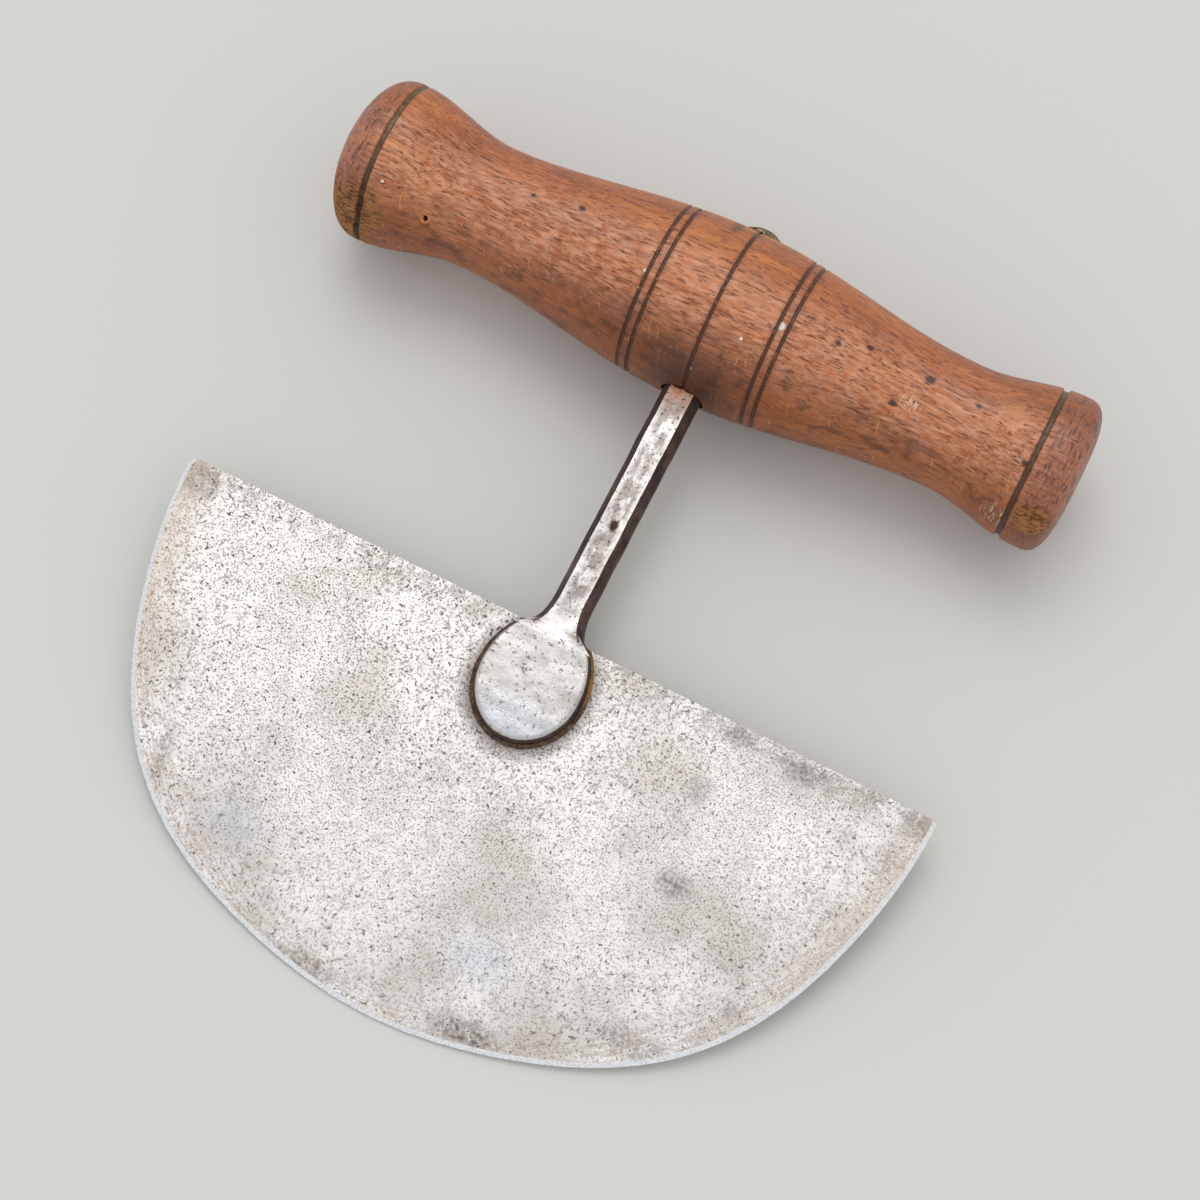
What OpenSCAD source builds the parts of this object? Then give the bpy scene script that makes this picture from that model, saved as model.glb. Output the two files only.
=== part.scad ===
// Mezzaluna: a half-moon chopping blade under a turned wooden cross handle.
// It lies as it would on a table: the belly of the handle and the rim of the
// blade behind its cutting edge both touch z = 0. X runs along the handle.

/* [Blade] */
// Width of the blade along its straight spine
blade_w = 152.4; // [120:0.1:190]
// Depth of the blade from its spine to the middle of the cutting edge
blade_depth = 75.9; // [60:0.1:95]
// Thickness of the blade where the cheeks hold it
blade_t = 2.0; // [1.2:0.1:3]
// Thickness just above the ground bevel
blade_rim_t = 1.1; // [0.8:0.1:1.2]
// Thickness left at the cutting edge
edge_t = 0.2; // [0.1:0.05:0.4]
// Width of the ground bevel
bevel_w = 0.9; // [0.6:0.1:3]
// Fullness of the blade's shoulders beyond a plain half round
shoulder_bulge = 0.036; // [0:0.002:0.06]

/* [Shank] */
// Distance from the handle's axis to the blade's spine
reach = 67.8; // [55:0.1:90]
// Width of the stem across its flanks
stem_w = 7.4; // [6:0.1:10]
// Thickness of the stem from its front face to its back face
stem_t = 7.0; // [6:0.1:10]
// Height of each cheek's face above the stem's face
cheek_proud = 0.3; // [0.1:0.1:0.8]
// Width of the stem's flat front face
stem_face_w = 4.7; // [3:0.1:5.5]
// Height of the upright part of the stem's flanks
stem_side_h = 2.0; // [1:0.1:4]
// Width of the rounded cheeks
cheek_w = 20.3; // [16:0.1:28]
// Length of the cheeks below the blade's spine
cheek_l = 21.7; // [16:0.1:26]
// Height of the widest part of the cheeks above their lower end
cheek_belly_h = 11.4; // [8:0.1:14]
// Width of the cheeks at the blade's spine, where the hollow shoulders begin
shoulder_w = 13.2; // [11:0.1:15.5]
// Length of the hollow shoulders between cheeks and stem
shoulder_l = 7.0; // [4:0.1:12]
// Diameter of the tang that passes through the handle
tang_d = 5.0; // [4:0.1:6]
// Height of the riveted head over the washer
head_h = 0.8; // [0.4:0.1:1.5]
// Overhang of the riveted head all round the tang
head_lip = 0.6; // [0.3:0.1:0.7]

/* [Handle] */
// Length from the stem to the handle's left end
handle_left = 78.4; // [65:0.1:95]
// Length from the stem to the handle's right end
handle_right = 72.4; // [65:0.1:95]
// Diameter of the belly
belly_d = 34.6; // [30:0.1:42]
// Diameter of the left neck
neck_left_d = 24.4; // [20:0.1:28]
// Diameter of the right neck
neck_right_d = 24.6; // [20:0.1:28]
// Distance from the stem to the left neck
neck_left_x = 49.5; // [40:0.1:55]
// Distance from the stem to the right neck
neck_right_x = 47.5; // [40:0.1:55]
// Diameter of the left end
end_left_d = 32.0; // [28:0.1:34]
// Diameter of the right end
end_right_d = 30.4; // [28:0.1:34]
// Length of the rounded nose on the left end
nose_left = 8.2; // [4:0.1:9]
// Length of the rounded nose on the right end
nose_right = 5.4; // [4:0.1:9]
// Width of the wide groove near each end
end_groove_w = 1.7; // [1:0.1:2.5]
// Depth of the wide groove near each end
end_groove_depth = 0.6; // [0.3:0.1:1]
// Distance from each end to its wide groove
end_groove_inset = 9.2; // [8.5:0.1:12]
// Width of the fine grooves on the belly
fine_groove_w = 0.6; // [0.4:0.1:1]
// Depth of the fine grooves on the belly
fine_groove_depth = 0.35; // [0.2:0.05:0.6]
// Distance from the stem to the middle of each pair of fine grooves
pair_x = 12.8; // [9:0.1:18]
// Distance between the two fine grooves of a pair
pair_gap = 2.0; // [1.5:0.1:3]
// Depth of that socket below the belly's surface
socket_depth = 4.0; // [2:0.1:6]

/* [Washer] */
// Diameter of the washer
washer_d = 8.2; // [7.5:0.1:11]
// Thickness of the washer
washer_t = 0.9; // [0.6:0.1:1.5]
// Depth of the flat that seats the washer in the handle's back
seat_depth = 0.35; // [0.3:0.05:1]

/* [Fits] */
// Clearance round the stem's corners in the handle's socket
socket_clear = 0.4; // [0.2:0.1:1]
// Radial clearance between the tang and what it passes through
tang_clear = 0.05; // [0.02:0.01:0.1]
// Clearance round the washer in its seat
seat_clear = 0.3; // [0.2:0.1:0.6]
// Width of the brazed fillet round each cheek
braze_w = 0.7; // [0.4:0.1:1.2]
// Height of the brazed fillet
braze_h = 0.5; // [0.3:0.1:1]

/* [Hidden] */
steel = [0.72, 0.71, 0.70];
wood = [0.55, 0.28, 0.16];
brass = [0.62, 0.55, 0.34];
belly_r = belly_d / 2;
edge_y = reach + blade_depth;
rim_share = 1 - 2 * bevel_w / blade_w;
rim_y = reach + rim_share * blade_depth;
tilt = asin(belly_r / norm([rim_y, blade_rim_t / 2])) - atan(blade_rim_t / 2 / rim_y);
washer_y = belly_r - seat_depth;
tang_end = washer_y + washer_t + head_h;
head_d = tang_d + 2 * head_lip;
head_top_d = head_d * 0.6;
stem_corner_r = max(norm([stem_w, stem_side_h]), norm([stem_face_w, stem_t])) / 2;
socket_r = stem_corner_r + socket_clear;
stem_top = belly_r - socket_depth;
middle_x = (max(handle_right, blade_w / 2) - max(handle_left, blade_w / 2)) / 2;
middle_y = (tang_end - edge_y) / 2 * cos(tilt) + head_top_d / 4 * sin(tilt);
shoulder_angle = acos(shoulder_w / cheek_w);
cheek_rise = (cheek_l - cheek_belly_h) / sin(shoulder_angle);
land_clear = 3;
flat_share = (cheek_l + land_clear) / min(blade_depth, blade_w / 2);
edge_steps = 90;
nose_steps = 14;
curve_steps = 16;
fine_grooves = [-pair_x - pair_gap / 2, -pair_x + pair_gap / 2, 0,
                pair_x - pair_gap / 2, pair_x + pair_gap / 2];

// Lays the tool down: the blade's own plane is tilted until its rim meets z = 0
module lay() {
    translate([-middle_x, -middle_y, belly_r]) rotate([tilt, 0, 0]) children();
}

// One ring round the blade's outline, drawn in by a share of its size
function ring(share, z) = [for (i = [0:edge_steps])
    let (a = 180 * i / edge_steps, b = 1 + shoulder_bulge * pow(sin(2 * a), 4))
    [share * b * cos(a) * blade_w / 2, -reach - share * b * sin(a) * blade_depth, z]];

// The blade: flat where the cheeks grip, ground thinner to the rim, bevelled at the edge
module blade() {
    levels = [[flat_share, blade_t / 2], [rim_share, blade_rim_t / 2], [1, edge_t / 2],
              [1, -edge_t / 2], [rim_share, -blade_rim_t / 2], [flat_share, -blade_t / 2]];
    n = edge_steps + 1;
    last = len(levels) - 1;
    points = [for (l = levels) each ring(l[0], l[1])];
    skin = [for (k = [0:last - 1]) for (i = [0:edge_steps - 1])
        each [[k * n + i, k * n + i + 1, (k + 1) * n + i + 1],
              [k * n + i, (k + 1) * n + i + 1, (k + 1) * n + i]]];
    front = [[for (i = [0:edge_steps]) edge_steps - i]];
    back = [[for (i = [0:edge_steps]) last * n + i]];
    spine = [concat([for (k = [0:last]) k * n], [for (k = [0:last]) (last - k) * n + edge_steps])];
    color(steel) lay() polyhedron(points, concat(skin, front, back, spine), 4);
}

// Outline of the cheeks on the right, from their lower end to the spine
function cheek_side(grow) = concat(
    [for (i = [0:curve_steps]) let (a = -90 + 90 * i / curve_steps)
        [(cheek_w / 2 + grow) * cos(a),
         -reach - cheek_l + cheek_belly_h + (cheek_belly_h + grow) * sin(a)]],
    [for (i = [1:curve_steps]) let (a = shoulder_angle * i / curve_steps)
        [(cheek_w / 2 + grow) * cos(a),
         -reach - cheek_l + cheek_belly_h + cheek_rise * sin(a)]]);
// The hollow shoulder on the right, from the spine to the stem
function shoulder_side() = [for (i = [1:curve_steps]) let (a = 90 * i / curve_steps)
    [stem_w / 2 + (shoulder_w - stem_w) / 2 * (1 - sin(a)), -reach + shoulder_l * (1 - cos(a))]];
function both_sides(right) = concat(right,
    [for (i = [len(right) - 1:-1:0]) if (right[i][0] > 0.001) [-right[i][0], right[i][1]]]);

// The stem's section: a flat face front and back, sloped flanks, short upright sides
module stem_section() {
    polygon([for (s = [[1, 1], [-1, 1], [-1, -1], [1, -1]]) each
        s[0] * s[1] > 0
            ? [[s[0] * stem_w / 2, s[1] * stem_side_h / 2], [s[0] * stem_face_w / 2, s[1] * stem_t / 2]]
            : [[s[0] * stem_face_w / 2, s[1] * stem_t / 2], [s[0] * stem_w / 2, s[1] * stem_side_h / 2]]]);
}

// The shank: one forging with two cheeks, a stem and a tang riveted over the washer
module shank() {
    color(steel) lay() difference() {
        union() {
            linear_extrude(height = stem_t + 2 * cheek_proud, center = true)
                polygon(both_sides(concat(cheek_side(0), shoulder_side())));
            translate([0, -stem_top, 0]) rotate([90, 0, 0])
                linear_extrude(height = reach - stem_top - shoulder_l / 2) stem_section();
            translate([0, -stem_top, 0]) rotate([-90, 0, 0])
                cylinder(h = stem_top + tang_end - head_h, d = tang_d, $fn = 48);
            translate([0, washer_y + washer_t, 0]) rotate([-90, 0, 0])
                cylinder(h = head_h, d1 = head_d, d2 = head_top_d, $fn = 48);
        }
        translate([-blade_w / 2, -reach - blade_depth, -blade_t / 2])
            cube([blade_w, blade_depth, blade_t]);
    }
}

function ease(t) = (1 - cos(180 * t)) / 2;
function nose(t, power) = pow(1 - pow(t, power), 1 / power);
// Radius of the turned handle between its two noses
function turned_r(x) =
    x < -neck_left_x ? neck_left_d / 2 + (end_left_d - neck_left_d) / 2
        * ease((-x - neck_left_x) / (handle_left - nose_left - neck_left_x)) :
    x < 0 ? neck_left_d / 2 + (belly_d - neck_left_d) / 2 * ease(pow(1 + x / neck_left_x, 0.9)) :
    x < neck_right_x ? neck_right_d / 2 + (belly_d - neck_right_d) / 2 * ease(1 - x / neck_right_x) :
    neck_right_d / 2 + (end_right_d - neck_right_d) / 2
        * ease((x - neck_right_x) / (handle_right - nose_right - neck_right_x));

// A cutter for a groove: a ring with a blunt wedge section
module groove(x, w, depth) {
    r = turned_r(x);
    rotate_extrude($fn = 96)
        polygon([[r - depth, x - w * 0.2], [r - depth, x + w * 0.2],
                 [r + 1, x + w * 0.8], [r + 1, x - w * 0.8]]);
}

// The handle, turned from one piece of beech
module handle() {
    body_l = -handle_left + nose_left;
    body_r = handle_right - nose_right;
    left_nose = [for (i = [0:nose_steps]) let (a = 90 * i / nose_steps)
        [end_left_d / 2 * nose(cos(a), 2.3), body_l - nose_left * cos(a)]];
    body = [for (i = [1:71]) let (x = body_l + (body_r - body_l) * i / 72) [turned_r(x), x]];
    right_nose = [for (i = [0:nose_steps]) let (a = 90 * i / nose_steps)
        [end_right_d / 2 * nose(sin(a), 3.2), body_r + nose_right * sin(a)]];
    color(wood) lay() difference() {
        rotate([0, 90, 0]) difference() {
            rotate_extrude($fn = 96) polygon(concat(left_nose, body, right_nose));
            for (x = fine_grooves) groove(x, fine_groove_w, fine_groove_depth);
            groove(-handle_left + end_groove_inset, end_groove_w, end_groove_depth);
            groove(handle_right - end_groove_inset, end_groove_w, end_groove_depth);
        }
        rotate([90, 0, 0]) cylinder(h = belly_d + 2, r = tang_d / 2 + tang_clear, center = true, $fn = 48);
        translate([0, -stem_top, 0]) rotate([90, 0, 0]) cylinder(h = socket_depth + 1, r = socket_r, $fn = 48);
        translate([0, washer_y, 0]) rotate([-90, 0, 0])
            cylinder(h = seat_depth + 1, d = washer_d + 2 * seat_clear, $fn = 48);
    }
}

// The washer that the end of the tang is riveted over
module washer() {
    color(brass) lay() translate([0, washer_y, 0]) rotate([-90, 0, 0]) difference() {
        cylinder(h = washer_t, d = washer_d, $fn = 48);
        translate([0, 0, -1]) cylinder(h = washer_t + 2, r = tang_d / 2 + tang_clear, $fn = 48);
    }
}

// The brazed fillet round one cheek; side is 1 at the front and -1 at the back
module braze(side) {
    color(brass) lay() translate([0, 0, side > 0 ? blade_t / 2 : -blade_t / 2 - braze_h])
        linear_extrude(height = braze_h) difference() {
            polygon(both_sides(cheek_side(braze_w)));
            polygon(both_sides(cheek_side(0)));
        }
}

blade();
shank();
handle();
washer();
braze(1);  // braze_front
braze(-1);  // braze_back
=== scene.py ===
"""A mezzaluna lying on a pale table: modelled pieces, finishes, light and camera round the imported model."""
import logging
import math
from dataclasses import dataclass
from enum import Enum

import bmesh
import bpy
from mathutils import Euler, Matrix, Vector, noise


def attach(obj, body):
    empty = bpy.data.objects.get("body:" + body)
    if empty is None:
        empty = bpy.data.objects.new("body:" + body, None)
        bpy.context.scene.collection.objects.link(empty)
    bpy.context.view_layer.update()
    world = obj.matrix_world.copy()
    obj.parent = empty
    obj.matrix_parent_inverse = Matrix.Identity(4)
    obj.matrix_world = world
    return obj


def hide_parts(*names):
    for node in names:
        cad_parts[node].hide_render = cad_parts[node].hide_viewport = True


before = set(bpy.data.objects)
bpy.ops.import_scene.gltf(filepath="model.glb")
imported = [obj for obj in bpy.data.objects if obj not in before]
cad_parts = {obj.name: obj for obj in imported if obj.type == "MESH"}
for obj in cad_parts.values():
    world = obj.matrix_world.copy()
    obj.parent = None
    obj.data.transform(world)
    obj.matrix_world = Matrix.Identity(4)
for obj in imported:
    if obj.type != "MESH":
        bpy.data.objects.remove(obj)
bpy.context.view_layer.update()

LOG = logging.getLogger("mezzaluna")
Socket = bpy.types.NodeSocket
Colour = tuple[float, float, float, float]
Place = tuple[float, float, float]
Span = tuple[float, float]

# The tool's own plane: x along the handle, y away from the blade, z up from the blade's face, in mm
MM = 0.001
TOOL_ORIGIN_MM = (1.1, 61.984, 17.3)
TILT = math.radians(6.7378)
TOOL_TO_FRAME = (Matrix.Translation([c * MM for c in TOOL_ORIGIN_MM]) @ Matrix.Rotation(TILT, 4, "X")
                 @ Matrix.Scale(MM, 4))

# Sizes and places that several pieces or their finishes share
SPINE_Y = -67.8
BLADE_HALF_W = 76.2
BLADE_DEPTH = 75.9
BLADE_HALF_T = 1.0
STEM_TOP_Y = -13.3
WASHER_SEAT_Y = 16.95
TANG_R = 2.5
BORE_R = 2.55
FINE_GROOVES_X = (-13.8, -11.8, 0.0, 11.8, 13.8)
LEFT_GROOVE_X = -69.2
RIGHT_GROOVE_X = 63.2
WORM_HOLE = (-56.8, -9.9, 8.8)
# A radius that lets a mark reach through the whole thickness, and one that lets it ignore height
THROUGH = 9.0
ANY_HEIGHT = 1e6
# Distances, in mm, under which points are merged, and under which a point counts as at height 0
MERGE = 1e-5
LATHE_MERGE = 1e-4
LEVEL = 1e-6
# Distance, in metres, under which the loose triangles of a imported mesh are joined
PACKED_MERGE = 1e-6
# The middle of a noise pattern's values, and how far they stray from it
NOISE_MIDDLE = 0.5
NOISE_STRAY = 0.25


class Side(Enum):
    """The two faces of the blade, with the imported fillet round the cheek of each."""

    FRONT = "braze_front"
    BACK = "braze_back"


class Join(Enum):
    """The ways in which masks and numbers are joined."""

    PRODUCT = "MULTIPLY"
    TOTAL = "ADD"
    HIGHEST = "MAXIMUM"
    LOWEST = "MINIMUM"


@dataclass(frozen=True)
class Coat:
    """A colour laid over what is under it: its sRGB hex value, and how much of it covers."""

    tone: str
    cover: float = 1.0


@dataclass(frozen=True)
class Flecks:
    """Specks or streaks: size in mm, noise values of full and none, and how much longer along each axis."""

    size: float
    span: Span
    stretch: Place = (1.0, 1.0, 1.0)
    turn_deg: float = 0.0
    detail: float = 2.0


@dataclass(frozen=True)
class Mark:
    """A stain, chip or patch: an ellipsoid in mm, the share it fades over, its raggedness and strength."""

    at: Place
    radii: Place
    soft: float = 0.4
    ragged: float = 0.0
    strength: float = 1.0


def srgb(hex_colour: str) -> Colour:
    """Turn an sRGB hex value into a linear colour.

    Args:
        hex_colour: six hex digits, such as "a1b2c3".

    Returns:
        The linear red, green, blue and an alpha of 1.
    """
    parts = [int(hex_colour[i:i + 2], 16) / 255 for i in (0, 2, 4)]
    linear = [c / 12.92 if c <= 0.04045 else ((c + 0.055) / 1.055) ** 2.4 for c in parts]
    return (linear[0], linear[1], linear[2], 1.0)


def add_node(tree: bpy.types.NodeTree, kind: str, links: dict[int | str, Socket] | None = None,
             **settings: object) -> bpy.types.Node:
    """Add a shader node, set its properties and inputs, and link it.

    Args:
        tree: the material's node tree.
        kind: the node's type name without "ShaderNode".
        links: input name or index to the output socket that feeds it.
        **settings: a property's value, an input's when the name starts with "in_", or a ramp's steps.

    Returns:
        The new node.
    """
    node = tree.nodes.new("ShaderNode" + kind)
    for name, value in settings.items():
        if name.startswith("in_"):
            key = name[3:]
            node.inputs[int(key) if key.isdigit() else key.replace("_", " ")].default_value = value
        elif name == "ramp":
            ramp = node.color_ramp
            while len(ramp.elements) < len(value):
                ramp.elements.new(1.0)
            for element, (place, tone) in zip(ramp.elements, value):
                element.position = place
                element.color = srgb(tone)
        else:
            setattr(node, name, value)
    for key, socket in (links or {}).items():
        tree.links.new(socket, node.inputs[key])
    return node


class Finish:
    """A material under construction: its tree, the tool's coordinates in mm, and layered masks."""

    def __init__(self, name: str) -> None:
        """Start a material whose coordinates are the tool's own plane, in millimetres.

        Args:
            name: the material's name.
        """
        self.material = bpy.data.materials.new(name)
        self.material.use_nodes = True
        self.tree = self.material.node_tree
        self.shader = self.tree.nodes["Principled BSDF"]
        place = add_node(self.tree, "TexCoord")
        tool = add_node(self.tree, "Mapping", {"Vector": place.outputs["Object"]}, vector_type="TEXTURE",
                        in_Location=[c * MM for c in TOOL_ORIGIN_MM], in_Rotation=(TILT, 0.0, 0.0),
                        in_Scale=(MM, MM, MM))
        self.place = tool.outputs[0]
        split = add_node(self.tree, "SeparateXYZ", {0: self.place})
        self.x, self.y, self.z = split.outputs

    def join(self, how: Join, *values: Socket | float) -> Socket:
        """Join masks and numbers, two at a time.

        Args:
            how: what is made of each two.
            *values: the masks and numbers.

        Returns:
            The socket that holds the result.
        """
        result = values[0]
        for value in values[1:]:
            pair = {0: result, 1: value}
            links = {i: v for i, v in pair.items() if isinstance(v, bpy.types.NodeSocket)}
            numbers = {f"in_{i}": v for i, v in pair.items() if i not in links}
            result = add_node(self.tree, "Math", links, operation=how.value, **numbers).outputs[0]
        return result

    def both(self, *masks: Socket | float) -> Socket:
        """Return a mask that is high only where all of these are."""
        return self.join(Join.PRODUCT, *masks)

    def either(self, *masks: Socket | float) -> Socket:
        """Return a mask that is high where any of these is."""
        return self.join(Join.HIGHEST, *masks)

    def total(self, *values: Socket | float) -> Socket:
        """Return the sum of masks and numbers."""
        return self.join(Join.TOTAL, *values)

    def away(self, value: Socket, centre: float = 0.0) -> Socket:
        """Return how far a value is from a centre, to either side."""
        return add_node(self.tree, "Math", {0: self.total(value, -centre)}, operation="ABSOLUTE").outputs[0]

    def fade(self, value: Socket, span: Span) -> Socket:
        """Return a mask that is 1 at the span's first value and falls to 0 at its second."""
        return add_node(self.tree, "MapRange", {0: value}, in_1=span[0], in_2=span[1], in_3=1.0,
                        in_4=0.0).outputs[0]

    def flecks(self, flecks: Flecks) -> Socket:
        """Draw specks or streaks.

        Args:
            flecks: their size, fade, stretch and turn in the blade's plane.

        Returns:
            The mask, high on the specks.
        """
        grain = add_node(self.tree, "Mapping", {"Vector": self.place}, vector_type="TEXTURE",
                         in_Rotation=(0.0, 0.0, math.radians(flecks.turn_deg)),
                         in_Scale=[flecks.size * s for s in flecks.stretch])
        cloud = add_node(self.tree, "TexNoise", {"Vector": grain.outputs[0]}, in_Scale=1.0,
                         in_Detail=flecks.detail, in_Roughness=0.6)
        return self.fade(cloud.outputs[0], flecks.span)

    def blot(self, mark: Mark) -> Socket:
        """Draw one mark.

        Args:
            mark: its place and size in the tool's plane, and its edge.

        Returns:
            The mask, high inside the mark.
        """
        local = add_node(self.tree, "Mapping", {"Vector": self.place}, vector_type="TEXTURE",
                         in_Location=mark.at, in_Scale=mark.radii)
        far = add_node(self.tree, "VectorMath", {0: local.outputs[0]}, operation="LENGTH").outputs["Value"]
        if mark.ragged:
            cloud = add_node(self.tree, "TexNoise", {"Vector": self.place}, in_Scale=1.1, in_Detail=4.0,
                             in_Roughness=0.75)
            push = self.both(self.total(cloud.outputs[0], -NOISE_MIDDLE), mark.ragged / NOISE_STRAY)
            far = self.total(far, push)
        inside = self.fade(far, (1.0 - mark.soft, 1.0 + mark.soft))
        return inside if mark.strength == 1.0 else self.both(inside, mark.strength)

    def paint(self, under: Socket | Colour, coat: Coat, mask: Socket) -> Socket:
        """Lay a coat over a colour where a mask is high.

        Args:
            under: the colour below.
            coat: the colour on top and how much it covers.
            mask: where it lies.

        Returns:
            The colour that results.
        """
        links = {0: mask if coat.cover == 1.0 else self.both(mask, coat.cover)}
        settings = {"in_7": srgb(coat.tone)}
        if isinstance(under, bpy.types.NodeSocket):
            links[6] = under
        else:
            settings["in_6"] = under
        return add_node(self.tree, "Mix", links, data_type="RGBA", **settings).outputs[2]

    def dress(self, colour: Socket, rough: Socket, height: Socket, deep_mm: float,
              metallic: float) -> bpy.types.Material:
        """Wire the finish to the shader.

        Args:
            colour: the base colour.
            rough: the roughness.
            height: the relief, where 1 is the full depth.
            deep_mm: that full depth in mm.
            metallic: how metallic the surface is.

        Returns:
            The finished material.
        """
        bump = add_node(self.tree, "Bump", {"Height": height}, in_Strength=1.0, in_Distance=deep_mm * MM)
        self.tree.links.new(colour, self.shader.inputs["Base Color"])
        self.tree.links.new(rough, self.shader.inputs["Roughness"])
        self.tree.links.new(bump.outputs[0], self.shader.inputs["Normal"])
        self.shader.inputs["Metallic"].default_value = metallic
        return self.material


@dataclass(frozen=True)
class StainedBeech:
    """Beech, turned, stained red-brown and varnished.

    That gives short dark vessel lines and bright ray curls low on the flanks; a painted sheen lies along the
    top and painted shade on the lower flank.
    """

    tones: tuple[tuple[float, str], ...] = ((0.3, "7d401c"), (0.5, "ac5f30"), (0.7, "cb7c42"))
    streak_mm: Place = (42.0, 5.0, 5.0)
    # Painted sheen: a pale salmon highlight laid into the colour along the top of the handle
    painted_sheen: Coat = Coat("dc9f7f", 0.72)
    sheen_grain: Flecks = Flecks(0.9, (0.62, 0.36), (3.0, 1.0, 1.0), detail=4.0)
    painted_sheen_back: Span = (1.0, 8.5)
    painted_sheen_front: Span = (-7.0, -13.5)
    # Painted shade: the lower flank, towards the blade, is darkened as if turned away from the light
    painted_flank_shade: Coat = Coat("743a18", 0.5)
    painted_flank_shade_span: Span = (-14.5, -5.0)
    fibres: Coat = Coat("7c4526", 0.45)
    fibre_grain: Flecks = Flecks(0.5, (0.38, 0.52), (14.0, 1.0, 1.0))
    vessels: Coat = Coat("4a2114", 0.75)
    # Real vessel lines are finer than a pixel, so these are drawn coarser to show
    vessel_grain: Flecks = Flecks(0.42, (0.35, 0.41), (7.0, 1.0, 1.0))
    vessel_span: Span = (-9.0, -15.0)
    pale_dashes: Coat = Coat("c9834f", 0.5)
    pale_grain: Flecks = Flecks(0.55, (0.33, 0.38), (5.0, 1.0, 1.0))
    rays: Coat = Coat("d9924e", 0.7)
    ray_cells_mm: Place = (1.3, 4.6, 4.6)
    ray_turn: float = 0.25
    # A ray is part of a ring in its cell: the ring's radius, its fade, its side, and the share of cells used
    ray_ring_r: float = 0.36
    ray_ring_fade: Span = (0.03, 0.09)
    ray_side: Span = (-0.2, -0.05)
    ray_chance: Span = (0.42, 0.46)
    ray_patches: Flecks = Flecks(4.0, (0.56, 0.46))
    ray_span_y: Span = (-7.0, -2.0)
    ray_span_z: Span = (14.0, 17.0)
    smudges: Coat = Coat("4b281b", 0.6)
    smudge_grain: Flecks = Flecks(2.6, (0.38, 0.47), (1.6, 1.0, 1.0), detail=5.0)
    smudge_span: Span = (-11.0, -6.0)
    stem_stain: Coat = Coat("37201c")
    stem_stain_at: Mark = Mark((0.5, -15.5, 5.0), (10.0, 7.0, 8.0), 0.5, 0.25, 0.75)
    washer_stain: Coat = Coat("3b2320")
    washer_stain_at: Mark = Mark((-3.9, 14.8, 8.8), (1.0, 5.0, 5.0), 0.5, 0.3, 0.6)
    end_wood: Coat = Coat("86503d", 0.45)
    end_pores: Coat = Coat("4f2c2c", 0.7)
    end_grain: Flecks = Flecks(0.45, (0.38, 0.46), (1.0, 5.0, 5.0))
    left_end: Span = (-71.0, -69.6)
    right_end: Span = (65.2, 63.8)
    bare_wood: Coat = Coat("a06a37", 0.85)
    torn_fibre: Coat = Coat("4a2916", 0.8)
    torn_grain: Flecks = Flecks(0.5, (0.4, 0.5), (4.0, 1.0, 1.0), detail=4.0)
    chips: tuple[Mark, ...] = (Mark((-70.5, -13.5, 5.5), (6.0, 5.5, 9.0), 0.2, 0.3),
                               Mark((67.4, -12.5, 8.6), (4.2, 2.8, 4.0), 0.2, 0.3))
    nick: Coat = Coat("2a1510", 0.9)
    nicks: tuple[tuple[Place, float], ...] = (
        ((-30.5, 3.2, 13.7), 0.55), ((-39.9, 1.9, 12.7), 0.4), ((22.8, 0.2, 14.9), 0.5),
        ((28.4, 2.3, 13.8), 0.5), ((36.3, -4.7, 12.0), 0.6), ((40.4, 2.1, 12.4), 0.8),
        ((50.3, 1.5, 12.4), 0.5), ((62.2, -5.0, 13.9), 0.6), ((-69.5, -15.0, 3.0), 0.5))
    nick_length: float = 1.3
    worm_rim: Coat = Coat("d0803f")
    worm_rim_at: Mark = Mark(WORM_HOLE, (0.95, 0.95, 0.95), 0.25)
    # Painted shade: the near-black inside the worm hole
    worm_hole_shade: Coat = Coat("0b0706")
    worm_hole_shade_at: Mark = Mark((-56.8, -9.0, 8.0), (0.62, 1.15, 1.15), 0.12)
    spatter: Coat = Coat("ece2d2")
    spatters: tuple[tuple[Place, float], ...] = (
        ((-66.1, -8.2, 13.3), 0.28), ((-14.4, -3.2, 16.1), 0.3), ((-14.0, -6.3, 15.2), 0.28),
        ((0.3, -14.3, 9.7), 0.25), ((6.9, -7.0, 15.5), 0.28), ((12.4, -1.9, 16.4), 0.75))
    scratches: Coat = Coat("dcb99c", 0.85)
    scratches_at: Mark = Mark((39.0, -3.4, 12.2), (2.2, 1.4, 1.6), 0.3)
    scratch_grain: Flecks = Flecks(0.3, (0.42, 0.46), (1.0, 6.0, 6.0))
    rub: Coat = Coat("c58655")
    rub_at: Mark = Mark((56.0, 3.2, 13.0), (2.4, 1.8, 2.2), 0.5, 0.3, 0.6)
    scrape: Coat = Coat("cdb8a8", 0.7)
    scrape_at: Mark = Mark((61.4, -13.6, 5.5), (2.2, 2.5, 3.0), 0.4)
    scrape_grain: Flecks = Flecks(0.3, (0.42, 0.46), (1.0, 5.0, 5.0))
    # Grime and painted shade: the fine grooves are filled near-black, with gaps
    groove_grime_and_shade: Coat = Coat("2a1d18", 0.92)
    groove_grime_and_shade_span: Span = (0.24, 0.42)
    groove_grime_and_shade_gaps: Flecks = Flecks(1.2, (0.36, 0.44))
    groove_grime_and_shade_loss: float = 0.5
    groove_shade: Coat = Coat("5a2f1c", 0.35)
    groove_shade_span: Span = (0.4, 1.1)
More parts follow.
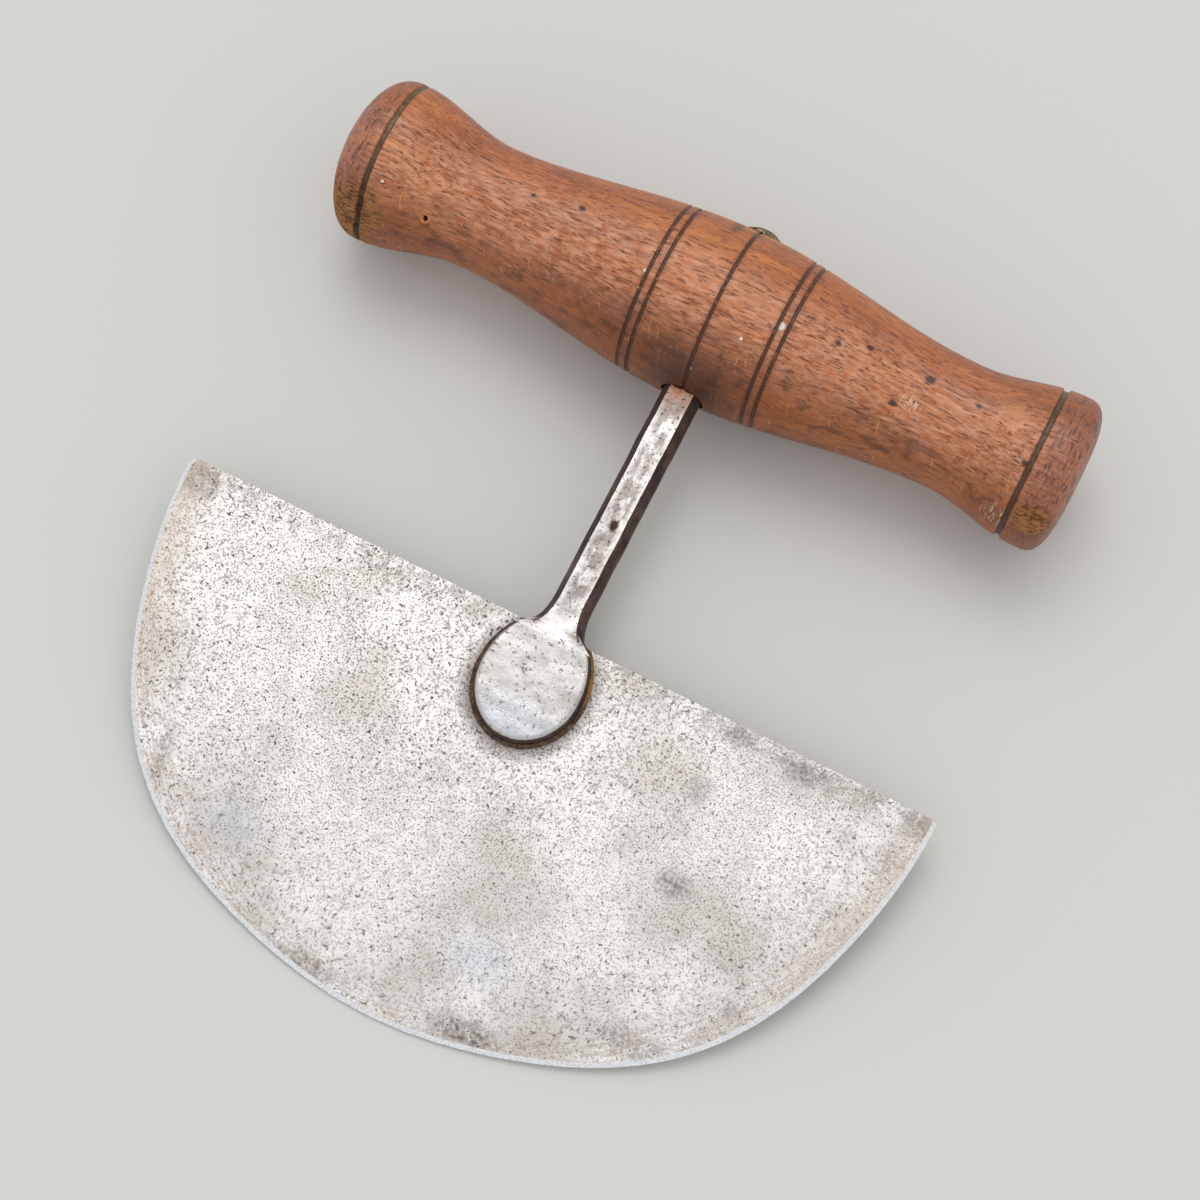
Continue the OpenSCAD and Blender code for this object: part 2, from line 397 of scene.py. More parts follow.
    # Painted shade: the end grooves are filled near-black, as shade in the deep cut
    end_groove_shade: Coat = Coat("2c2119", 0.85)
    end_groove_shade_span: Span = (0.38, 0.62)
    residues: tuple[tuple[float, Coat], ...] = ((LEFT_GROOVE_X, Coat("7a6c3c", 0.9)),
                                                (RIGHT_GROOVE_X, Coat("57503c", 0.9)))
    residue_span: Span = (2.0, -9.0)
    residue_grain: Flecks = Flecks(0.5, (0.6, 0.45))
    smooth_rough: Span = (0.34, 0.5)
    torn_rough: float = 0.35
    # How much the streaks stand up, and how far the vessels and the torn fibres sink
    streak_relief: float = 0.8
    vessel_relief: float = -0.6
    torn_relief: float = -2.0
    relief_mm: float = 0.07
    ior: float = 1.5

    def make(self) -> bpy.types.Material:
        """Make the finish.

        Returns:
            The material.
        """
        f = Finish("stained_varnished_beech")
        streak = add_node(f.tree, "Mapping", {"Vector": f.place}, vector_type="TEXTURE",
                          in_Scale=self.streak_mm)
        cloud = add_node(f.tree, "TexNoise", {"Vector": streak.outputs[0]}, in_Scale=1.0, in_Detail=7.0,
                         in_Roughness=0.62, in_Distortion=0.4).outputs[0]
        dashes = f.flecks(self.vessel_grain)
        chips = f.either(*(f.blot(chip) for chip in self.chips))
        torn = f.both(chips, f.flecks(self.torn_grain))
        colour = self.wood(f, cloud, dashes)
        colour = self.stains(f, colour)
        colour = f.paint(colour, self.bare_wood, chips)
        colour = f.paint(colour, self.torn_fibre, torn)
        colour = self.marks(f, colour)
        colour = self.grooves(f, colour)
        low, high = self.tones[0][0], self.tones[-1][0]
        varnish = add_node(f.tree, "MapRange", {0: cloud}, in_1=low, in_2=high, in_3=self.smooth_rough[0],
                           in_4=self.smooth_rough[1]).outputs[0]
        rough = f.total(varnish, f.both(chips, self.torn_rough))
        height = f.total(f.both(cloud, self.streak_relief), f.both(dashes, self.vessel_relief),
                         f.both(torn, self.torn_relief))
        f.shader.inputs["IOR"].default_value = self.ior
        return f.dress(colour, rough, height, self.relief_mm, 0.0)

    def wood(self, f: Finish, cloud: Socket, dashes: Socket) -> Socket:
        """Colour the wood: streaks, painted sheen along the top, painted shade on the lower flank, fibres,
        vessels and rays.

        Args:
            f: the finish under construction.
            cloud: the long streaks.
            dashes: the vessel lines.

        Returns:
            The colour.
        """
        colour = add_node(f.tree, "ValToRGB", {0: cloud}, ramp=self.tones).outputs[0]
        # Painted sheen along the top, broken by the grain
        painted_sheen = f.both(f.fade(f.y, self.painted_sheen_back), f.fade(f.y, self.painted_sheen_front),
                       f.flecks(self.sheen_grain))
        colour = f.paint(colour, self.painted_sheen, painted_sheen)
        # Painted shade on the lower flank
        colour = f.paint(colour, self.painted_flank_shade, f.fade(f.y, self.painted_flank_shade_span))
        colour = f.paint(colour, self.fibres, f.flecks(self.fibre_grain))
        colour = f.paint(colour, self.vessels, f.both(dashes, f.fade(f.y, self.vessel_span)))
        colour = f.paint(colour, self.pale_dashes, f.flecks(self.pale_grain))
        flank = f.both(f.fade(f.y, self.ray_span_y), f.fade(f.z, self.ray_span_z))
        return f.paint(colour, self.rays, f.both(self.curls(f), flank))

    def curls(self, f: Finish) -> Socket:
        """Draw bent ray flecks: one side of a ring in some of the cells of a stretched pattern.

        Args:
            f: the finish under construction.

        Returns:
            The mask, high on the curls.
        """
        cells = add_node(f.tree, "Mapping", {"Vector": f.place}, vector_type="TEXTURE",
                         in_Scale=self.ray_cells_mm, in_Rotation=(0.0, 0.0, self.ray_turn))
        cell = add_node(f.tree, "TexVoronoi", {"Vector": cells.outputs[0]}, in_Scale=1.0)
        offset = add_node(f.tree, "VectorMath", {0: cells.outputs[0], 1: cell.outputs["Position"]},
                          operation="SUBTRACT").outputs[0]
        reach = add_node(f.tree, "VectorMath", {0: offset}, operation="LENGTH").outputs["Value"]
        ring = f.fade(f.away(reach, self.ray_ring_r), self.ray_ring_fade)
        across = add_node(f.tree, "SeparateXYZ", {0: offset}).outputs[0]
        chance = add_node(f.tree, "SeparateColor", {0: cell.outputs["Color"]}).outputs[0]
        return f.both(ring, f.fade(across, self.ray_side), f.fade(chance, self.ray_chance),
                      f.flecks(self.ray_patches))

    def stains(self, f: Finish, colour: Socket) -> Socket:
        """Lay the smudges, the stains by the stem and the washer, and the darker end faces.

        Args:
            f: the finish under construction.
            colour: the colour below.

        Returns:
            The colour.
        """
        smudge = f.both(f.flecks(self.smudge_grain), f.fade(f.y, self.smudge_span))
        colour = f.paint(colour, self.smudges, smudge)
        colour = f.paint(colour, self.stem_stain, f.blot(self.stem_stain_at))
        colour = f.paint(colour, self.washer_stain, f.blot(self.washer_stain_at))
        ends = f.either(f.fade(f.x, self.left_end), f.fade(f.x, self.right_end))
        colour = f.paint(colour, self.end_wood, ends)
        return f.paint(colour, self.end_pores, f.both(ends, f.flecks(self.end_grain)))

    def marks(self, f: Finish, colour: Socket) -> Socket:
        """Lay the nicks, the worm hole's bright rim and the painted shade inside it, the pale spatters, the
        scratches and the rubs.

        Args:
            f: the finish under construction.
            colour: the colour below.

        Returns:
            The colour.
        """
        for place, size in self.nicks:
            colour = f.paint(colour, self.nick, f.blot(Mark(place, (size * self.nick_length, size, size),
                                                            0.4, 0.3)))
        colour = f.paint(colour, self.worm_rim, f.blot(self.worm_rim_at))
        # Painted shade inside the worm hole
        colour = f.paint(colour, self.worm_hole_shade, f.blot(self.worm_hole_shade_at))
        for place, size in self.spatters:
            colour = f.paint(colour, self.spatter, f.blot(Mark(place, (size, size, size), 0.3, 0.2)))
        scratched = f.both(f.blot(self.scratches_at), f.flecks(self.scratch_grain))
        colour = f.paint(colour, self.scratches, scratched)
        colour = f.paint(colour, self.rub, f.blot(self.rub_at))
        scraped = f.both(f.blot(self.scrape_at), f.flecks(self.scrape_grain))
        return f.paint(colour, self.scrape, scraped)

    def grooves(self, f: Finish, colour: Socket) -> Socket:
        """Fill the fine grooves with grime and painted shade, darken their edges with painted shade, and fill
        the end grooves with painted shade and old polish.

        Args:
            f: the finish under construction.
            colour: the colour below.

        Returns:
            The colour.
        """
        # Grime and painted shade in the fine grooves, then painted shade on their edges
        near = f.join(Join.LOWEST, *(f.away(f.x, groove) for groove in FINE_GROOVES_X))
        kept = f.total(1.0, f.both(f.flecks(self.groove_grime_and_shade_gaps), -self.groove_grime_and_shade_loss))
        colour = f.paint(colour, self.groove_grime_and_shade, f.both(f.fade(near, self.groove_grime_and_shade_span), kept))
        colour = f.paint(colour, self.groove_shade, f.fade(near, self.groove_shade_span))
        for groove, residue in self.residues:
            wide = f.fade(f.away(f.x, groove), self.end_groove_shade_span)
            # Painted shade in the end groove, with old polish over it
            colour = f.paint(colour, self.end_groove_shade, wide)
            polish = f.both(wide, f.fade(f.y, self.residue_span), f.flecks(self.residue_grain))
            colour = f.paint(colour, residue, polish)
        return colour


@dataclass(frozen=True)
class ForgedSteel:
    """Cast steel plate, scoured bright over old rust: near-white satin metal with grey-brown pits."""

    tones: tuple[tuple[float, str], ...] = ((0.36, "d2ccc7"), (0.56, "efecea"))
    cloud_mm: float = 22.0
    mottle: Coat = Coat("b5ada7", 0.3)
    mottle_grain: Flecks = Flecks(1.6, (0.4, 0.55), detail=6.0)
    spine: Coat = Coat("8f8780", 0.55)
    spine_grain: Flecks = Flecks(2.2, (0.6, 0.4), detail=6.0)
    spine_span: Span = (SPINE_Y - 2.0, SPINE_Y - 7.5)
    pitted: Mark = Mark((-45.0, -85.0, 0.0), (48.0, 34.0, 30.0), 0.5)
    fine_pit: Coat = Coat("7a6f68")
    fine_grain: Flecks = Flecks(0.4, (0.4, 0.47), detail=3.0)
    fine_share: Span = (0.44, 0.14)
    coarse_pit: Coat = Coat("5e554f")
    coarse_grain: Flecks = Flecks(0.8, (0.33, 0.38), detail=3.0)
    coarse_share: Span = (0.55, 0.35)
    patch: Coat = Coat("6a6561")
    patch_grain: Flecks = Flecks(0.8, (0.62, 0.42), detail=4.0)
    # Each patch of old rust: x, y, its two radii and how strong it is
    patches: tuple[tuple[float, float, float, float, float], ...] = (
        (39.0, -99.1, 3.4, 2.2, 0.8), (50.6, -70.5, 4.5, 2.2, 0.6), (35.5, -81.8, 2.4, 2.6, 0.45),
        (71.5, -78.0, 3.2, 4.2, 0.5), (37.4, -69.5, 5.5, 2.0, 0.5), (-53.8, -119.0, 1.6, 4.5, 0.6),
        (-12.6, -140.6, 6.0, 2.0, 0.85), (18.4, -138.8, 6.5, 2.6, 0.9), (45.7, -127.5, 8.0, 2.4, 0.6),
        (58.5, -114.5, 1.8, 1.6, 0.6), (-73.5, -71.0, 4.0, 4.0, 0.7), (74.5, -70.0, 3.5, 3.0, 0.85))
    blued: Coat = Coat("b9c2d2", 0.35)
    blued_at: tuple[Span, ...] = ((-36.4, -124.4), (14.7, -126.1))
    blued_radii: Place = (5.5, 4.0, THROUGH)
    honed: Coat = Coat("b9aa9c", 0.55)
    hone_band: Span = (0.985, 0.9)
    hone_span: Span = (0.42, 0.52)
    # Real honing lines are finer than a pixel: these are drawn this many to the radius and to the turn
    hone_across: float = 190.0
    hone_along: float = 60.0
    warm_corner: Coat = Coat("cfc0b0", 0.45)
    corner_span: Span = (72.0, 60.0)
    scratch_tone: str = "8e8782"
    # Real scratches are finer than this, but thinner lines wouldn't show
    scratch_size: float = 0.14
    scratch_span: Span = (0.3, 0.34)
    scratch_stretch: Place = (160.0, 1.0, 1.0)
    # Each set of long scratches: its turn in degrees and how strong it is
    scratches: tuple[Span, ...] = ((24.0, 0.3), (-58.0, 0.22), (71.0, 0.2))
    # Grime and painted shade: a dark ring round each cheek where it sits on the blade, and round the stem at
    # the spine
    cheek_grime_and_shade: Coat = Coat("5d5049", 0.85)
    cheek_grime_and_shade_marks: tuple[Mark, ...] = (Mark((0.0, -78.6, 0.0), (12.0, 13.2, ANY_HEIGHT), 0.13, 0.03),
                                    Mark((0.0, -67.0, 0.0), (7.0, 5.0, ANY_HEIGHT), 0.3, 0.05))
    # A fine pit counts for this much of a coarse one, and pits and rust roughen the metal by these
    fine_weight: float = 0.5
    smooth_rough: float = 0.36
    pit_rough: float = 0.3
    rust_rough: float = 0.25
    relief_mm: float = 0.05

    def make(self) -> bpy.types.Material:
        """Make the finish.

        Returns:
            The material.
        """
        f = Finish("scoured_cast_steel")
        cloud = add_node(f.tree, "TexNoise", {"Vector": f.place}, in_Scale=1 / self.cloud_mm, in_Detail=5.0,
                         in_Roughness=0.55)
        colour = add_node(f.tree, "ValToRGB", {0: cloud.outputs[0]}, ramp=self.tones).outputs[0]
        colour = f.paint(colour, self.mottle, f.flecks(self.mottle_grain))
        spine = f.both(f.fade(f.y, self.spine_span), f.flecks(self.spine_grain))
        colour = f.paint(colour, self.spine, spine)
        pitted = f.blot(self.pitted)
        fine = f.flecks(self.fine_grain)
        more_fine = f.total(self.fine_share[0], f.both(pitted, self.fine_share[1]))
        colour = f.paint(colour, self.fine_pit, f.both(fine, more_fine))
        coarse = f.flecks(self.coarse_grain)
        more_coarse = f.total(self.coarse_share[0], f.both(pitted, self.coarse_share[1]))
        colour = f.paint(colour, self.coarse_pit, f.both(coarse, more_coarse))
        rust = f.either(*(f.blot(Mark((x, y, 0.0), (wide, tall, THROUGH), 0.45, 0.35, strength))
                          for x, y, wide, tall, strength in self.patches))
        colour = f.paint(colour, self.patch, f.both(rust, f.flecks(self.patch_grain)))
        for x, y in self.blued_at:
            colour = f.paint(colour, self.blued, f.blot(Mark((x, y, 0.0), self.blued_radii, 0.6, 0.2)))
        colour = self.rim(f, colour)
        for turn, strength in self.scratches:
            lines = f.flecks(Flecks(self.scratch_size, self.scratch_span, self.scratch_stretch, turn, 1.0))
            colour = f.paint(colour, Coat(self.scratch_tone, strength), lines)
        # Grime and painted shade round the cheeks and the stem
        colour = f.paint(colour, self.cheek_grime_and_shade, f.either(*(f.blot(mark) for mark in self.cheek_grime_and_shade_marks)))
        pits = f.either(f.both(fine, self.fine_weight), coarse)
        rough = f.total(self.smooth_rough, f.both(pits, self.pit_rough), f.both(rust, self.rust_rough))
        return f.dress(colour, rough, f.both(pits, -1.0), self.relief_mm, 1.0)

    def rim(self, f: Finish, colour: Socket) -> Socket:
        """Lay the honing marks that follow the rim, and the warmer tone near the two corners.

        Args:
            f: the finish under construction.
            colour: the colour below.

        Returns:
            The colour.
        """
        around = add_node(f.tree, "Mapping", {"Vector": f.place}, vector_type="TEXTURE",
                          in_Location=(0.0, SPINE_Y, 0.0),
                          in_Scale=(BLADE_HALF_W, BLADE_DEPTH, ANY_HEIGHT)).outputs[0]
        radius = add_node(f.tree, "VectorMath", {0: around}, operation="LENGTH").outputs["Value"]
        band = f.fade(radius, self.hone_band)
        bearing = add_node(f.tree, "TexGradient", {0: around}, gradient_type="RADIAL").outputs[1]
        ring = add_node(f.tree, "CombineXYZ", {0: f.both(radius, self.hone_across),
                                               1: f.both(bearing, self.hone_along)})
        hone = add_node(f.tree, "TexNoise", {"Vector": ring.outputs[0]}, in_Scale=1.0, in_Detail=3.0)
        colour = f.paint(colour, self.honed, f.both(band, f.fade(hone.outputs[0], self.hone_span)))
        return f.paint(colour, self.warm_corner, f.both(f.fade(f.away(f.x), self.corner_span), band))


@dataclass(frozen=True)
class GroundBevel:
    """The same steel, freshly ground along the cutting edge: a bright line with faint stone marks."""

    bright: str = "f4f5f8"
    stone: Coat = Coat("a6a6ab", 0.5)
    # Real stone marks are finer than a pixel, so these are drawn coarser to show
    stone_grain: Flecks = Flecks(0.35, (0.36, 0.5), detail=3.0)
    smooth_rough: float = 0.3
    stone_rough: float = 0.2
    relief_mm: float = 0.02

    def make(self) -> bpy.types.Material:
        """Make the finish.

        Returns:
            The material.
        """
        f = Finish("ground_steel_bevel")
        marks = f.flecks(self.stone_grain)
        colour = f.paint(srgb(self.bright), self.stone, marks)
        rough = f.total(self.smooth_rough, f.both(marks, self.stone_rough))
        return f.dress(colour, rough, marks, self.relief_mm, 1.0)


@dataclass(frozen=True)
class BurnishedForging:
    """Forged steel: rubbed bright on its faces, with dark brown scale and painted shade on its flanks."""

    tones: tuple[tuple[float, str], ...] = ((0.36, "b4afab"), (0.55, "cac7c4"))
    flank_scale_and_shade_tones: tuple[tuple[float, str], ...] = ((0.35, "40322d"), (0.65, "6d5a52"))
    cloud_mm: float = 4.0
    worn: Coat = Coat("7a6e68", 0.75)
    worn_grain: Flecks = Flecks(1.3, (0.54, 0.4), (1.0, 2.2, 1.0), detail=5.0)
    worn_along: Span = (-60.0, -67.0)
    worn_across: Span = (1.3, 2.1)
    dent: Coat = Coat("6b5c54", 0.6)
    dent_grain: Flecks = Flecks(0.7, (0.33, 0.38), detail=4.0)
    shoulder: Coat = Coat("5b4e48", 0.7)
    shoulder_marks: tuple[Mark, ...] = (Mark((-5.2, -66.5, 3.5), (2.2, 2.4, 3.0), 0.5, 0.3),
                                        Mark((5.2, -66.5, 3.5), (2.2, 2.4, 3.0), 0.5, 0.3))
    blued: Coat = Coat("b9c0cd", 0.5)
    blued_at: Mark = Mark((0.0, -86.0, 3.8), (8.0, 3.6, 4.0), 0.5)
    pit: Coat = Coat("3d2c25")
    pit_at: Mark = Mark((0.4, -45.5, 3.5), (0.9, 1.2, 2.0), 0.3, 0.3)
    dull_top: Coat = Coat("7d675b", 0.9)
    dull_span: Span = (-20.0, -23.5)
    rust: Coat = Coat("8e4f27", 0.9)
    rust_grain: Flecks = Flecks(0.8, (0.6, 0.42))
    rust_span: Span = (-17.4, -19.4)
    # How squarely a surface faces up, as a cosine: all scale and painted shade below the first value, none
    # above the second
    flank_span: Span = (0.64, 0.86)
    smooth_rough: float = 0.3
    scale_rough: float = 0.25
    dent_rough: float = 0.2
    cloud_relief: float = 1.5
    relief_mm: float = 0.08
    metallic: float = 0.92

    def make(self) -> bpy.types.Material:
        """Make the finish.

        Returns:
            The material.
        """
        f = Finish("burnished_forged_steel")
        cloud = add_node(f.tree, "TexNoise", {"Vector": f.place}, in_Scale=1 / self.cloud_mm, in_Detail=5.0,
                         in_Roughness=0.6).outputs[0]
        dents = f.flecks(self.dent_grain)
        face = self.face(f, cloud, dents)
        normal = add_node(f.tree, "NewGeometry").outputs["Normal"]
        facing = add_node(f.tree, "VectorMath", {0: normal}, operation="DOT_PRODUCT",
                          in_1=(0.0, -math.sin(TILT), math.cos(TILT))).outputs["Value"]
        # Surfaces that turn away from up get the dark flank colour: scale and painted shade
        flank = f.fade(f.away(facing), self.flank_span)
        # The dark flank colour, which holds both the scale and painted shade
        scale = add_node(f.tree, "ValToRGB", {0: cloud}, ramp=self.flank_scale_and_shade_tones).outputs[0]
        colour = add_node(f.tree, "Mix", {0: flank, 6: face, 7: scale}, data_type="RGBA").outputs[2]
        rough = f.total(self.smooth_rough, f.both(flank, self.scale_rough), f.both(dents, self.dent_rough))
        height = f.total(f.both(cloud, self.cloud_relief), f.both(dents, -1.0))
        return f.dress(colour, rough, height, self.relief_mm, self.metallic)

    def face(self, f: Finish, cloud: Socket, dents: Socket) -> Socket:
        """Colour the rubbed faces, with the wear, the dents and the rust near the handle.

        Args:
            f: the finish under construction.
            cloud: the broad change of tone.
            dents: the dents.

        Returns:
            The colour.
        """
        colour = add_node(f.tree, "ValToRGB", {0: cloud}, ramp=self.tones).outputs[0]
        worn = f.both(f.fade(f.y, self.worn_along), f.fade(f.away(f.x), self.worn_across),
                      f.flecks(self.worn_grain))
        colour = f.paint(colour, self.worn, worn)
        colour = f.paint(colour, self.dent, dents)
        colour = f.paint(colour, self.shoulder, f.either(*(f.blot(mark) for mark in self.shoulder_marks)))
        colour = f.paint(colour, self.blued, f.blot(self.blued_at))
        colour = f.paint(colour, self.pit, f.blot(self.pit_at))
        colour = f.paint(colour, self.dull_top, f.fade(f.y, self.dull_span))
        return f.paint(colour, self.rust, f.both(f.fade(f.y, self.rust_span), f.flecks(self.rust_grain)))


@dataclass(frozen=True)
class DulledBrass:
    """Brass gone dull: khaki brown, rubbed lighter in patches, or oxide-brown spelter along a joint."""

    name: str = "dulled_brass"
    rubbed: str = "a89a6c"
    dull: str = "7d7352"
    dark: str = "3f3526"
    golden: str = "7d7352"
    cloud_mm: float = 1.25
    golden_cover: float = 0.8
    golden_x: Span = (8.0, 3.0)
    golden_y: Span = (-74.0, -78.0)
    spot_grain: Flecks = Flecks(0.4, (0.36, 0.44), detail=3.0)
    spot_cover: float = 0.7
    smooth_rough: float = 0.42
    spot_rough: float = 0.3
    relief_mm: float = 0.08
    metallic: float = 0.8

    def make(self) -> bpy.types.Material:
        """Make the finish.

        Returns:
            The material.
        """
        f = Finish(self.name)
        cloud = add_node(f.tree, "TexNoise", {"Vector": f.place}, in_Scale=1 / self.cloud_mm, in_Detail=6.0,
                         in_Roughness=0.65).outputs[0]
        tones = ((0.35, self.dark), (0.5, self.dull), (0.68, self.rubbed))
        colour = add_node(f.tree, "ValToRGB", {0: cloud}, ramp=tones).outputs[0]
        right = f.both(f.fade(f.x, self.golden_x), f.fade(f.y, self.golden_y))
        colour = f.paint(colour, Coat(self.golden, self.golden_cover), right)
        spots = f.flecks(self.spot_grain)
        colour = f.paint(colour, Coat(self.dark, self.spot_cover), spots)
        rough = f.total(self.smooth_rough, f.both(spots, self.spot_rough))
        return f.dress(colour, rough, cloud, self.relief_mm, self.metallic)


def clamp(share: float) -> float:
    """Return a share kept between 0 and 1."""
    return min(1.0, max(0.0, share))


def ease(share: float) -> float:
    """Return a share from 0 to 1, started and ended gently."""
    return (1 - math.cos(math.pi * clamp(share))) / 2


def ruffle(point: Vector, size: float, seed: float = 0.0) -> float:
    """Draw smooth noise at a point.

    Args:
        point: the point, in mm.
        size: the size of its features, in mm.
        seed: another value gives another pattern.

    Returns:
        A value between about -1 and 1.
    """
    return noise.noise(point / size + Vector((seed, seed, seed)))


def cut_plane(bm: bmesh.types.BMesh, at: Vector, normal: Vector, drop_beyond: bool = False) -> None:
    """Cut a mesh along a plane.

    Args:
        bm: the mesh.
        at: a point of the plane.
        normal: the plane's direction.
        drop_beyond: whether what lies past the plane is removed.
    """
    bmesh.ops.bisect_plane(bm, geom=bm.verts[:] + bm.edges[:] + bm.faces[:], plane_co=at, plane_no=normal,
                           clear_outer=drop_beyond)


def open_floor(bm: bmesh.types.BMesh) -> None:
    """Remove the faces that lie at height 0."""
    floor = [face for face in bm.faces if all(abs(v.co.z) < LEVEL for v in face.verts)]
    bmesh.ops.delete(bm, geom=floor, context="FACES_ONLY")


def mirror_down(bm: bmesh.types.BMesh) -> None:
    """Mirror the upper half of a mesh below height 0 and join the two."""
    bmesh.ops.mirror(bm, geom=bm.verts[:] + bm.edges[:] + bm.faces[:], matrix=Matrix.Identity(4),
                     merge_dist=MERGE, axis="Z")
    bmesh.ops.remove_doubles(bm, verts=bm.verts, dist=MERGE)


def turn(bm: bmesh.types.BMesh, profile: list[Place], axis: Place, steps: int, closed: bool = False) -> None:
    """Turn a profile round an axis through the origin, as on a lathe.

    Args:
        bm: the mesh that takes the shape.
        profile: the profile's points.
        axis: the direction of the axis.
        steps: how many steps make a full turn.
        closed: whether the profile's last point joins its first.
    """
    verts = [bm.verts.new(point) for point in profile]
    follow = verts[1:] + verts[:1] if closed else verts[1:]
    edges = [bm.edges.new(pair) for pair in zip(verts, follow)]
    bmesh.ops.spin(bm, geom=verts + edges, cent=(0, 0, 0), axis=axis, angle=math.tau, steps=steps,
                   use_merge=True)
    bmesh.ops.remove_doubles(bm, verts=bm.verts, dist=LATHE_MERGE)


def make_piece(name: str, bm: bmesh.types.BMesh, materials: list[bpy.types.Material],
               sharp_deg: float = 38.0) -> bpy.types.Object:
    """Make a piece from a mesh drawn in the tool's plane.

    Args:
        name: the piece's name.
        bm: the mesh, in mm, which is freed.
        materials: its finishes, in slot order.
        sharp_deg: edges that turn more than this stay crisp.

    Returns:
        The object, at the origin.
    """
    bmesh.ops.transform(bm, matrix=TOOL_TO_FRAME, verts=bm.verts)
    bmesh.ops.recalc_face_normals(bm, faces=bm.faces)
    mesh = bpy.data.meshes.new(name)
    bm.to_mesh(mesh)
    bm.free()
    for material in materials:
        mesh.materials.append(material)
    mesh.shade_smooth()
    mesh.set_sharp_from_angle(angle=math.radians(sharp_deg))
    piece = bpy.data.objects.new(name, mesh)
    bpy.context.scene.collection.objects.link(piece)
    LOG.info("%s: %d faces", name, len(mesh.polygons))
    return piece


def carve(piece: bpy.types.Object, cutter: bmesh.types.BMesh, sharp_deg: float) -> None:
    """Cut a shape drawn in the tool's plane out of a piece.

    Args:
        piece: the piece to cut.
        cutter: the shape, in mm, which is freed.
        sharp_deg: edges that turn more than this stay crisp.
    """
    tool = make_piece("cutter", cutter, [piece.data.materials[0]])
    cut = piece.modifiers.new("cut", "BOOLEAN")
    cut.operation = "DIFFERENCE"
    cut.solver = "EXACT"
    cut.object = tool
    bpy.context.view_layer.update()
    whole = bpy.data.meshes.new_from_object(piece.evaluated_get(bpy.context.evaluated_depsgraph_get()))
    old = piece.data
    piece.modifiers.clear()
    piece.data = whole
    whole.name = piece.name
    bpy.data.meshes.remove(old)
    bpy.data.objects.remove(tool)
    whole.shade_smooth()
    whole.set_sharp_from_angle(angle=math.radians(sharp_deg))


